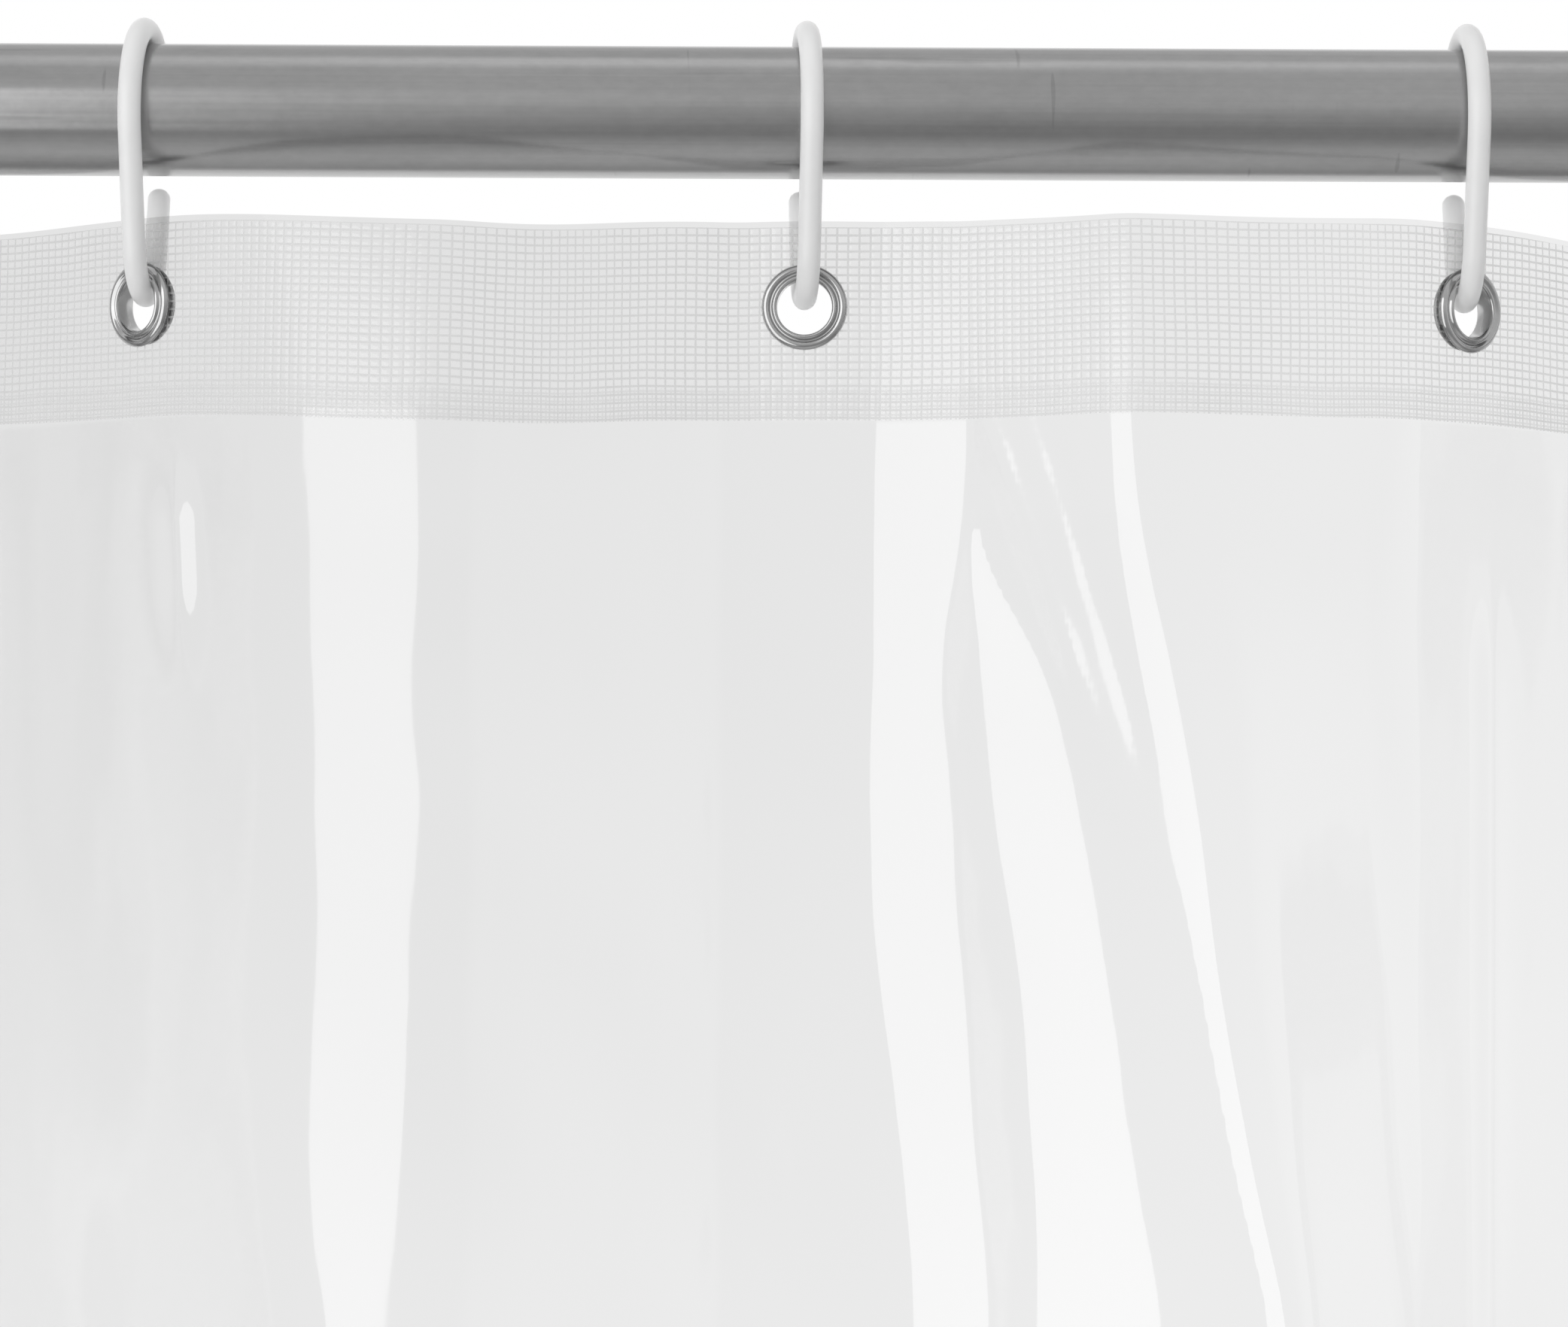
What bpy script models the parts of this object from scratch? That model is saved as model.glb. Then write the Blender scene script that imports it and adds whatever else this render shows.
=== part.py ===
"""Clear vinyl shower curtain with a mesh-reinforced header, hung on a fixed rod by twelve C-shaped rings.

Frame: metres, +Z up, X along the rod, -Y the room side. The origin is the middle of the left wall flange's back.
"""

import math

import bmesh
import bpy
from mathutils import Matrix, Vector

# Rod: a round tube whose ends sit in two flanges that are screwed to facing walls.
WALL_TO_WALL = 1.524
ROD_RADIUS = 0.0127
ROD_WALL = 0.0012
FLANGE_RADIUS = 0.032
FLANGE_PLATE = 0.003
SOCKET_LENGTH = 0.022
SOCKET_WALL = 0.0035
FLANGE_CHAMFER = 0.001
WALL_SCREW_HOLE_RADIUS = 0.0023
WALL_SCREW_CIRCLE = 0.0242
WALL_SCREW_COUNT = 3
GRUB_SCREW_RADIUS = 0.002

# Rings: one open C of moulded bar each, a large arc over the rod and a small one through the eyelet.
RING_COUNT = 12
RING_PITCH = 0.127
RING_BELOW_ROD = 0.0216
RING_TOP_SLACK = 0.0023
RING_BOTTOM_INNER_RADIUS = 0.0095
BAR_WIDTH = 0.0044
BAR_DEPTH = 0.0046
RING_MOUTH_TOP = -0.0020
RING_TIP_BELOW_ROD = 0.0006
RING_REST = 0.0005
RING_YAW_DEG = (-3, 2, -2, 3, -2, -4, 4, 2, -3, 1, -4, 2)

# Cloth: film cut 72 by 72 inches, with a woven-mesh band laminated to its head.
EYELET_PITCH = 0.1524
CLOTH_MARGIN = 0.0762
CLOTH_LENGTH = 1.829
FILM_THICKNESS = 0.00025
BAND_HEIGHT = 0.0372
BAND_THICKNESS = 0.0004
BAND_TOP_ABOVE_EYELET = 0.0155
FILM_ABOVE_BAND = 0.0012

# How the cloth stands between the rings: its heading at each eyelet, then for each pleat which side of the
# rings it stands on, 1 for the room side and -1 for the back, and where along it the crest is.
EYELET_HEADING_DEG = (34, -36, 38, -34, 3, 42, 3, -40, 38, -36, 34, -32)
PLEAT_SIDE = (1, -1, 1, -1, -1, 1, 1, -1, 1, -1, 1)
CREST_SHARE = (0.46, 0.52, 0.55, 0.42, 0.58, 0.43, 0.60, 0.48, 0.54, 0.47, 0.52)
FREE_EDGE_SPAN = 0.056
FLAT_AT_EYELET = 0.019
POINTS_PER_FLANK = 5
HANDLE_SHARE = 0.45

# Eyelets: a flanged barrel through band and film, rolled over a washer behind them.
EYELET_HOLE_RADIUS = 0.0053
EYELET_WALL = 0.0005
EYELET_FLANGE_RADIUS = 0.00825
EYELET_CROWN = 0.0014
ROLL_RADIUS = 0.0070
ROLL_THICKNESS = 0.0007
WASHER_THICKNESS = 0.0006
EYELET_STEPS = 12
EYELET_SAG = 0.0020

# Hem weights: disc magnets in welded pockets behind the film, under four of the eyelets.
MAGNET_UNDER_RING = (1, 5, 8, 12)
MAGNET_RADIUS = 0.006
MAGNET_THICKNESS = 0.0025
MAGNET_ABOVE_HEM = 0.014
POCKET_FILM = 0.0004
POCKET_WELD_RADIUS = 0.009

GAP = 0.0003
RING_BAR_SIDES = 8
RING_ARC_STEP_DEG = 20
ROUND_STEPS = 24

RING_TOP_INNER_RADIUS = ROD_RADIUS + RING_TOP_SLACK
RING_TOP_LINE_RADIUS = RING_TOP_INNER_RADIUS + BAR_DEPTH / 2
RING_BOTTOM_LINE_RADIUS = RING_BOTTOM_INNER_RADIUS + BAR_DEPTH / 2
RING_INNER_TOP = ROD_RADIUS + RING_REST
RING_INNER_BOTTOM = -ROD_RADIUS - RING_BELOW_ROD
RING_TOP_CENTRE = RING_INNER_TOP - RING_TOP_INNER_RADIUS
RING_BOTTOM_CENTRE = RING_INNER_BOTTOM + RING_BOTTOM_INNER_RADIUS
EYELET_HEIGHT = RING_INNER_BOTTOM + EYELET_SAG - EYELET_HOLE_RADIUS
BAND_TOP = EYELET_HEIGHT + BAND_TOP_ABOVE_EYELET
BAND_BOTTOM = BAND_TOP - BAND_HEIGHT
FILM_TOP = BAND_TOP + FILM_ABOVE_BAND
FILM_BOTTOM = FILM_TOP - CLOTH_LENGTH
FIRST_RING_X = (WALL_TO_WALL - (RING_COUNT - 1) * RING_PITCH) / 2
BAND_BACK = FILM_THICKNESS / 2 + GAP
BAND_MIDDLE = BAND_BACK + BAND_THICKNESS / 2
BAND_FRONT = BAND_BACK + BAND_THICKNESS
BARREL_RADIUS = EYELET_HOLE_RADIUS + EYELET_WALL
CLOTH_HOLE_RADIUS = BARREL_RADIUS + GAP


def clear_scene():
    for old in list(bpy.data.objects):
        bpy.data.objects.remove(old)


def new_material(name, colour, roughness, metallic=0.0, alpha=1.0):
    material = bpy.data.materials.new(name)
    material.use_nodes = True
    shader = material.node_tree.nodes["Principled BSDF"]
    shader.inputs["Base Color"].default_value = (*colour, 1)
    shader.inputs["Roughness"].default_value = roughness
    shader.inputs["Metallic"].default_value = metallic
    shader.inputs["Alpha"].default_value = alpha
    return material


def add_object(name, points, faces, material, smooth_under_deg=30):
    """A mesh object of these points and faces, with its faces turned outwards."""
    mesh = bpy.data.meshes.new(name)
    mesh.from_pydata([tuple(p) for p in points], [], faces)
    work = bmesh.new()
    work.from_mesh(mesh)
    bmesh.ops.recalc_face_normals(work, faces=work.faces)
    work.to_mesh(mesh)
    work.free()
    mesh.shade_smooth()
    mesh.set_sharp_from_angle(angle=math.radians(smooth_under_deg))
    if material:
        mesh.materials.append(material)
    made = bpy.data.objects.new(name, mesh)
    bpy.context.scene.collection.objects.link(made)
    return made


def tube_faces(loops, sides, closed):
    """Quads between loops of equal size; closed joins the last loop to the first."""
    faces = []
    for i in range(loops if closed else loops - 1):
        a, b = i * sides, (i + 1) % loops * sides
        faces += [(a + j, a + (j + 1) % sides, b + (j + 1) % sides, b + j) for j in range(sides)]
    return faces


def turned_ring(profile, steps):
    """A closed profile of (radius, height) turned about Z into a ring."""
    points = []
    for i in range(steps):
        turn = 2 * math.pi * (i + 0.5) / steps
        points += [(r * math.cos(turn), r * math.sin(turn), h) for r, h in profile]
    return points, tube_faces(steps, len(profile), closed=True)


def turned_solid(profile, steps):
    """An open profile of (radius, height) that starts and ends on the Z axis, turned into a solid."""
    inner = profile[1:-1]
    turns = [2 * math.pi * (j + 0.5) / steps for j in range(steps)]
    points = [(r * math.cos(turn), r * math.sin(turn), h) for r, h in inner for turn in turns]
    faces = tube_faces(len(inner), steps, closed=False)
    start, end = len(points), len(points) + 1
    points += [(0, 0, profile[0][1]), (0, 0, profile[-1][1])]
    last = (len(inner) - 1) * steps
    faces += [(start, (j + 1) % steps, j) for j in range(steps)]
    faces += [(end, last + j, last + (j + 1) % steps) for j in range(steps)]
    return points, faces


def disc(radius, low, high, steps=ROUND_STEPS):
    return turned_solid([(0, low), (radius, low), (radius, high), (0, high)], steps)


def cut(target, cutters):
    """Subtracts hidden cutters from target with Boolean modifiers."""
    for cutter in cutters:
        cutter.hide_render = True
        cutter.display_type = "WIRE"
        modifier = target.modifiers.new("cut", "BOOLEAN")
        modifier.operation = "DIFFERENCE"
        modifier.object = cutter


# ---------------------------------------------------------------- rod


def add_flange(name, material, right):
    """A wall flange, turned from plate to socket. The right one is the left one turned round to face it."""
    socket_inner = ROD_RADIUS + GAP
    socket_outer = socket_inner + SOCKET_WALL
    profile = [
        (0, 0),
        (FLANGE_RADIUS - FLANGE_CHAMFER, 0),
        (FLANGE_RADIUS, FLANGE_CHAMFER),
        (FLANGE_RADIUS, FLANGE_PLATE - FLANGE_CHAMFER),
        (FLANGE_RADIUS - FLANGE_CHAMFER, FLANGE_PLATE),
        (socket_outer + FLANGE_CHAMFER, FLANGE_PLATE),
        (socket_outer, FLANGE_PLATE + FLANGE_CHAMFER),
        (socket_outer, SOCKET_LENGTH - FLANGE_CHAMFER),
        (socket_outer - FLANGE_CHAMFER, SOCKET_LENGTH),
        (socket_inner, SOCKET_LENGTH),
        (socket_inner, FLANGE_PLATE),
        (0, FLANGE_PLATE),
    ]
    flange = add_object(name, *turned_solid(profile, ROUND_STEPS), material)
    cutters = []
    for i in range(WALL_SCREW_COUNT):
        turn = math.pi + 2 * math.pi * i / WALL_SCREW_COUNT
        hole = disc(WALL_SCREW_HOLE_RADIUS, -FLANGE_PLATE, 2 * FLANGE_PLATE, steps=12)
        cutter = add_object(f"{name}_wall_screw_cut_{i}", *hole, None)
        cutter.location = (WALL_SCREW_CIRCLE * math.cos(turn), WALL_SCREW_CIRCLE * math.sin(turn), 0)
        cutters.append(cutter)
    grub_hole = disc(GRUB_SCREW_RADIUS + GAP, ROD_RADIUS / 2, socket_outer + GAP, steps=12)
    cutter = add_object(f"{name}_grub_cut", *grub_hole, None)
    cutter.matrix_basis = Matrix.Translation((0, 0, grub_height())) @ Matrix.Rotation(math.pi / 2, 4, "Y")
    cutters.append(cutter)
    place = Matrix.Rotation(math.pi / 2, 4, "Y")
    if right:
        # Turned half round X's upright axis, so its grub screw is underneath too.
        place = Matrix.Translation((WALL_TO_WALL, 0, 0)) @ Matrix.Rotation(math.pi, 4, "Z") @ place
    for piece in (flange, *cutters):
        piece.data.transform(place @ piece.matrix_basis)
        piece.matrix_basis = Matrix.Identity(4)
    cut(flange, cutters)
    return flange


def grub_height():
    """Where the grub screw stands along the socket, from the wall."""
    return (FLANGE_PLATE + SOCKET_LENGTH) / 2


def add_grub_screw(name, x, material):
    """A grub screw under the socket, its nose just short of the tube."""
    nose = ROD_RADIUS + GAP
    head = nose + SOCKET_WALL
    bevel = GRUB_SCREW_RADIUS / 4
    profile = [
        (0, -nose),
        (GRUB_SCREW_RADIUS - bevel, -nose),
        (GRUB_SCREW_RADIUS, -nose - bevel),
        (GRUB_SCREW_RADIUS, -head),
        (GRUB_SCREW_RADIUS / 2, -head),
        (GRUB_SCREW_RADIUS / 2, -(nose + head) / 2),
        (0, -(nose + head) / 2),
    ]
    screw = add_object(name, *turned_solid(profile, 12), material)
    screw.location.x = x
    return screw


def add_rod(steel, chrome):
    length = WALL_TO_WALL - 2 * (FLANGE_PLATE + GAP)
    inner = ROD_RADIUS - ROD_WALL
    profile = [(ROD_RADIUS, 0), (ROD_RADIUS, length), (inner, length), (inner, 0)]
    tube = add_object("rod_tube", *turned_ring(profile, ROUND_STEPS), steel)
    tube.matrix_basis = Matrix.Translation((FLANGE_PLATE + GAP, 0, 0)) @ Matrix.Rotation(math.pi / 2, 4, "Y")
    add_flange("left_flange", chrome, right=False)
    add_flange("right_flange", chrome, right=True)
    add_grub_screw("left_grub_screw", grub_height(), steel)
    add_grub_screw("right_grub_screw", WALL_TO_WALL - grub_height(), steel)


# ---------------------------------------------------------------- rings


def arc(centre_z, radius, start_deg, end_deg):
    """Points (y, z) on a circle centred on Y 0, every RING_ARC_STEP_DEG or closer, from start to end."""
    steps = max(1, math.ceil(abs(end_deg - start_deg) / RING_ARC_STEP_DEG))
    turns = [math.radians(start_deg + (end_deg - start_deg) * i / steps) for i in range(steps + 1)]
    return [(radius * math.cos(t), centre_z + radius * math.sin(t)) for t in turns]


def ring_line():
    """The bar's centre line (y, z), from its tip behind the cloth, round the eyelet and over the rod."""
    drop = RING_TOP_CENTRE - RING_BOTTOM_CENTRE
    taper = math.asin((RING_TOP_LINE_RADIUS - RING_BOTTOM_LINE_RADIUS) / drop)
    taper_deg = math.degrees(taper)
    bottom = arc(RING_BOTTOM_CENTRE, RING_BOTTOM_LINE_RADIUS, -taper_deg, -180 + taper_deg)
    mouth_deg = math.degrees(math.asin((RING_MOUTH_TOP - RING_TOP_CENTRE) / RING_TOP_LINE_RADIUS))
    top = arc(RING_TOP_CENTRE, RING_TOP_LINE_RADIUS, 180 + taper_deg, mouth_deg)
    foot_y, foot_z = bottom[0]
    tip_z = -ROD_RADIUS - RING_TIP_BELOW_ROD - BAR_DEPTH / 2
    tip = (foot_y + (tip_z - foot_z) * math.tan(taper), tip_z)
    return [tip, *bottom, *top]


def swept_bar(line):
    """An oval bar along a line in the YZ plane, with a rounded nose at each end."""
    points, loops = [], 0
    count = len(line)
    for i, (y, z) in enumerate(line):
        before, after = line[max(i - 1, 0)], line[min(i + 1, count - 1)]
        along = Vector((0, after[0] - before[0], after[1] - before[1])).normalized()
        out = Vector((0, along.z, -along.y))
        ends = {0: [(-0.9, 0.45), (-0.5, 0.85), (0, 1)], count - 1: [(0, 1), (0.5, 0.85), (0.9, 0.45)]}
        for ahead, size in ends.get(i, [(0, 1)]):
            middle = Vector((0, y, z)) + along * (ahead * BAR_DEPTH / 2)
            for j in range(RING_BAR_SIDES):
                turn = 2 * math.pi * j / RING_BAR_SIDES
                side = Vector((BAR_WIDTH / 2 * math.cos(turn), 0, 0))
                points.append(middle + size * (side + out * (BAR_DEPTH / 2 * math.sin(turn))))
            loops += 1
    faces = tube_faces(loops, RING_BAR_SIDES, closed=False)
    last = (loops - 1) * RING_BAR_SIDES
    faces += [tuple(range(RING_BAR_SIDES)), tuple(last + j for j in range(RING_BAR_SIDES))]
    return points, faces


def ring_x(number):
    return FIRST_RING_X + (number - 1) * RING_PITCH


def add_rings(plastic):
    shape = swept_bar(ring_line())
    for number in range(1, RING_COUNT + 1):
        ring = add_object(f"ring_{number:02d}", *shape, plastic)
        ring.location.x = ring_x(number)
        ring.rotation_euler.z = math.radians(RING_YAW_DEG[number - 1])


# ---------------------------------------------------------------- cloth


def heading(degrees):
    """The direction of the cloth seen from above: along X, and to the room side for a positive angle."""
    return Vector((math.cos(math.radians(degrees)), -math.sin(math.radians(degrees))))


def flank(start, start_heading, end, end_heading):
    """A Bezier curve from start to end, in plan, whose handles are a share of its span along the rod."""
    handle = HANDLE_SHARE * abs(end.x - start.x)
    near, far = start + start_heading * handle, end - end_heading * handle
    points = []
    for i in range(POINTS_PER_FLANK + 1):
        t = i / POINTS_PER_FLANK
        s = 1 - t
        points.append(s**3 * start + 3 * s * s * t * near + 3 * s * t * t * far + t**3 * end)
    return points


def run_length(points):
    return sum((b - a).length for a, b in zip(points, points[1:]))


def deepest_fit(make, length):
    """The points of make(depth) at the depth where their length is the cloth's, found by halving."""
    low, high = 0.0, length
    for _ in range(40):
        middle = (low + high) / 2
        low, high = (middle, high) if run_length(make(middle)) < length else (low, middle)
    return make((low + high) / 2)


def pleat(number):
    """The cloth between two eyelets: out to a crest on its own side and back, as long as it was cut."""
    half = FLAT_AT_EYELET / 2
    leave, arrive = (heading(EYELET_HEADING_DEG[n]) for n in (number - 1, number))
    start = Vector((ring_x(number), 0)) + leave * half
    end = Vector((ring_x(number + 1), 0)) - arrive * half
    crest_x = ring_x(number) + CREST_SHARE[number - 1] * RING_PITCH

    def shape(depth):
        crest = Vector((crest_x, -PLEAT_SIDE[number - 1] * depth))
        return flank(start, leave, crest, heading(0)) + flank(crest, heading(0), end, arrive)[1:]

    return deepest_fit(shape, EYELET_PITCH - FLAT_AT_EYELET)


def free_edge(number, side):
    """The cloth outside an end eyelet, run outwards to its edge, which stands at the back."""
    outward = heading(EYELET_HEADING_DEG[number - 1]) * side
    start = Vector((ring_x(number), 0)) + outward * (FLAT_AT_EYELET / 2)

    def shape(depth):
        edge = Vector((ring_x(number) + side * FREE_EDGE_SPAN, depth))
        return flank(start, outward, edge, heading(0) * side)

    return deepest_fit(shape, CLOTH_MARGIN - FLAT_AT_EYELET / 2)


def cloth_plan():
    """The cloth's whole course seen from above, from its left edge to its right."""
    points = free_edge(1, -1)[::-1]
    for number in range(1, RING_COUNT):
        points += pleat(number)
    return points + free_edge(RING_COUNT, 1)


def wall_of_cloth(plan, heights, thickness, offset):
    """A sheet that stands on the plan line, its middle offset to the room side, with a loop at each height."""
    count = len(plan)
    front, back = [], []
    for i, p in enumerate(plan):
        along = (plan[min(i + 1, count - 1)] - plan[max(i - 1, 0)]).normalized()
        room = Vector((along.y, -along.x))
        front.append(p + room * (offset + thickness / 2))
        back.append(p + room * (offset - thickness / 2))
    outline = front + back[::-1]
    points = [(p.x, p.y, z) for z in heights for p in outline]
    faces = tube_faces(len(heights), 2 * count, closed=False)
    for level in (0, len(heights) - 1):
        base = level * 2 * count
        faces += [
            (base + i, base + i + 1, base + 2 * count - 2 - i, base + 2 * count - 1 - i) for i in range(count - 1)
        ]
    return points, faces


def at_eyelet(number, height):
    """Stands a piece turned about Z on the cloth at an eyelet: its Z to the room side, its X along the cloth."""
    turn = -math.radians(EYELET_HEADING_DEG[number - 1])
    upright = Matrix.Rotation(math.pi / 2, 4, "X")
    return Matrix.Translation((ring_x(number), 0, height)) @ Matrix.Rotation(turn, 4, "Z") @ upright


def eyelet_cutters(label):
    """A round punch through the cloth at each eyelet."""
    reach = FLAT_AT_EYELET / 4
    cutters = []
    for number in range(1, RING_COUNT + 1):
        punch = add_object(f"{label}_{number}", *disc(CLOTH_HOLE_RADIUS, -reach, reach, EYELET_STEPS), None)
        punch.matrix_basis = at_eyelet(number, EYELET_HEIGHT)
        cutters.append(punch)
    return cutters


def add_cloth(film, mesh):
    plan = cloth_plan()
    heights = [FILM_BOTTOM, BAND_BOTTOM, FILM_TOP]
    sheet = add_object("vinyl_sheet", *wall_of_cloth(plan, heights, FILM_THICKNESS, 0), film)
    cut(sheet, eyelet_cutters("sheet_punch"))
    strip = wall_of_cloth(plan, [BAND_BOTTOM, BAND_TOP], BAND_THICKNESS, BAND_MIDDLE)
    band = add_object("mesh_header", *strip, mesh)
    cut(band, eyelet_cutters("header_punch"))


# ---------------------------------------------------------------- eyelets and hem weights


def add_eyelets(nickel):
    flange_back = BAND_FRONT + GAP
    washer_front = -FILM_THICKNESS / 2 - GAP
    washer_back = washer_front - WASHER_THICKNESS
    roll_front = washer_back - GAP
    roll_back = roll_front - ROLL_THICKNESS
    crown = flange_back + EYELET_CROWN
    eyelet = [
        (EYELET_HOLE_RADIUS, crown - EYELET_WALL),
        ((EYELET_HOLE_RADIUS + EYELET_FLANGE_RADIUS) / 2, crown),
        (EYELET_FLANGE_RADIUS, flange_back + EYELET_WALL),
        (EYELET_FLANGE_RADIUS, flange_back),
        (BARREL_RADIUS, flange_back),
        (BARREL_RADIUS, roll_front),
        (ROLL_RADIUS, roll_front),
        ((EYELET_HOLE_RADIUS + ROLL_RADIUS) / 2, roll_back),
        (EYELET_HOLE_RADIUS, roll_front),
    ]
    washer = [
        (CLOTH_HOLE_RADIUS, washer_back),
        (EYELET_FLANGE_RADIUS, washer_back),
        (EYELET_FLANGE_RADIUS, washer_front),
        (CLOTH_HOLE_RADIUS, washer_front),
    ]
    for name, profile in (("eyelet", eyelet), ("washer", washer)):
        shape = turned_ring(profile, EYELET_STEPS)
        for number in range(1, RING_COUNT + 1):
            piece = add_object(f"{name}_{number:02d}", *shape, nickel)
            piece.matrix_basis = at_eyelet(number, EYELET_HEIGHT)


def add_hem_weights(ferrite, film):
    height = FILM_BOTTOM + MAGNET_ABOVE_HEM
    front = -FILM_THICKNESS / 2 - GAP
    magnet_back = front - MAGNET_THICKNESS
    pocket_inner = MAGNET_RADIUS + GAP
    pocket_back = magnet_back - GAP
    pocket = [
        (0, pocket_back),
        (pocket_inner, pocket_back),
        (pocket_inner, front),
        (POCKET_WELD_RADIUS, front),
        (POCKET_WELD_RADIUS, front - POCKET_FILM),
        (pocket_inner + POCKET_FILM, front - POCKET_FILM),
        (pocket_inner + POCKET_FILM, pocket_back - POCKET_FILM),
        (0, pocket_back - POCKET_FILM),
    ]
    for i, number in enumerate(MAGNET_UNDER_RING, 1):
        magnet = add_object(f"magnet_{i}", *disc(MAGNET_RADIUS, magnet_back, front, 16), ferrite)
        cover = add_object(f"magnet_pocket_{i}", *turned_solid(pocket, 16), film)
        for piece in (magnet, cover):
            piece.matrix_basis = at_eyelet(number, height)


def main():
    clear_scene()
    steel = new_material("brushed steel", (0.42, 0.42, 0.42), 0.32, metallic=1)
    chrome = new_material("satin chrome", (0.60, 0.60, 0.61), 0.22, metallic=1)
    nickel = new_material("nickel", (0.58, 0.58, 0.57), 0.18, metallic=1)
    plastic = new_material("white plastic", (0.82, 0.82, 0.82), 0.35)
    film = new_material("clear vinyl", (0.85, 0.85, 0.85), 0.08, alpha=0.3)
    mesh = new_material("mesh band", (0.78, 0.78, 0.78), 0.4, alpha=0.8)
    ferrite = new_material("ferrite", (0.05, 0.05, 0.055), 0.6)
    add_rod(steel, chrome)
    add_rings(plastic)
    add_cloth(film, mesh)
    add_eyelets(nickel)
    add_hem_weights(ferrite, film)


main()
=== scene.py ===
"""A clear vinyl shower curtain hung by open plastic rings from a stainless rod between two walls."""

import math

import bpy
import numpy as np
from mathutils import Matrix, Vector


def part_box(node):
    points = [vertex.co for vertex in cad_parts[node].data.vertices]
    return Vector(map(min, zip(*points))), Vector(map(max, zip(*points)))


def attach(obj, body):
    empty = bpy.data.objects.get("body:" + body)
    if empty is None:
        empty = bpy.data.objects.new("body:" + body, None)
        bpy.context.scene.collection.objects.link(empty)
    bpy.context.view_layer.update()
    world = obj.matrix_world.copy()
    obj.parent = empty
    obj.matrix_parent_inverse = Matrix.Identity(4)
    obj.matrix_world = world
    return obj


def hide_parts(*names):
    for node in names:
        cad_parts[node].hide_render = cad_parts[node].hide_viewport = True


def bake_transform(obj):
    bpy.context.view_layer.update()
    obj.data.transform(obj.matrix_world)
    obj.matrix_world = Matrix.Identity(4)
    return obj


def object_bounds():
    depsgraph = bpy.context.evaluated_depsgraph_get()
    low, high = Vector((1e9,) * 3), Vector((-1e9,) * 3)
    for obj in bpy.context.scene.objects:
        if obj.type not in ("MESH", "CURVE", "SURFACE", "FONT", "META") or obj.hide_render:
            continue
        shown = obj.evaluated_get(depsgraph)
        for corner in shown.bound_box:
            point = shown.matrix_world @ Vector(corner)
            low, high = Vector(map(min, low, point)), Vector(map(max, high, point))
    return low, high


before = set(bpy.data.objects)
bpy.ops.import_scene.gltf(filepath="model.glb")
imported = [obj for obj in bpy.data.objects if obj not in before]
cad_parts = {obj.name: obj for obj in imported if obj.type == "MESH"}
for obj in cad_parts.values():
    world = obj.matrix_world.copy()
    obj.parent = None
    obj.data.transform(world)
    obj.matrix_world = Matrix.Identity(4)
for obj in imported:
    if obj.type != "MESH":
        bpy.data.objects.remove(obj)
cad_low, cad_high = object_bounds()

# ------------------------------------------------------------------ room, light and camera
# A plain studio: a pale floor under the hem, a large soft box to the left of the camera, a dimmer one above the
# rod, and a white room that the film lets through. The room is greyer in front, where the rod mirrors it.

ROD_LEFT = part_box("rod_tube")[0][0]
WALL_TO_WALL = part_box("right_flange")[1][0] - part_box("left_flange")[0][0]
RING_COUNT = 12
RING_PITCH = 0.127
FIRST_RING_X = (WALL_TO_WALL - (RING_COUNT - 1) * RING_PITCH) / 2
FLOOR_BELOW_HEM = 0.02
FLOOR_CORNERS = ((-2.2, -2.6), (3.8, -2.6), (3.8, 2.6), (-2.2, 2.6))
KEY_RADIANCE = 1.22
TOP_RADIANCE = 0.6
DIFFUSE_SHARE = 0.12
# The room's grey by height, from straight down at 0 to straight up at 1.
ROOM_GREYS = (
    (0.0, 0.66),
    (0.14, 0.33),
    (0.235, 0.36),
    (0.345, 0.44),
    (0.455, 0.50),
    (0.60, 0.66),
    (0.98, 0.66),
    (1.0, 1.0),
)
ROOM_FILL = 0.85
CAMERA_LENS_MM = 125.7
CAMERA_LEFT_OF_RING = 0.0035
CAMERA_DISTANCE = 1.05
CAMERA_HEIGHT = -0.142
CAMERA_RISE_DEG = 1.96
CAMERA_ROLL_DEG = -0.27


def ring_x(number):
    return FIRST_RING_X + (number - 1) * RING_PITCH


class Wire:
    """A shader socket that can be used in an expression. Each operator adds one Math node."""

    def __init__(self, finish, socket):
        self.finish, self.socket = finish, socket

    def math(self, operation, *values):
        return self.finish.node("ShaderNodeMath", {"operation": operation}, dict(enumerate((self, *values))))

    def __add__(self, other):
        return self.math("ADD", other)

    def __sub__(self, other):
        return self.math("SUBTRACT", other)

    def __rsub__(self, other):
        return self.finish.node("ShaderNodeMath", {"operation": "SUBTRACT"}, {0: other, 1: self})

    def __mul__(self, other):
        return self.math("MULTIPLY", other)

    def __truediv__(self, other):
        return self.math("DIVIDE", other)

    def __neg__(self):
        return self.math("MULTIPLY", -1)

    __radd__, __rmul__ = __add__, __mul__

    def ramp(self, low, high):
        """0 below low, 1 above high, and a smooth rise between."""
        ends = {"Value": self, "From Min": low, "From Max": high}
        return self.finish.node("ShaderNodeMapRange", {"interpolation_type": "SMOOTHSTEP"}, ends)


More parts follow.
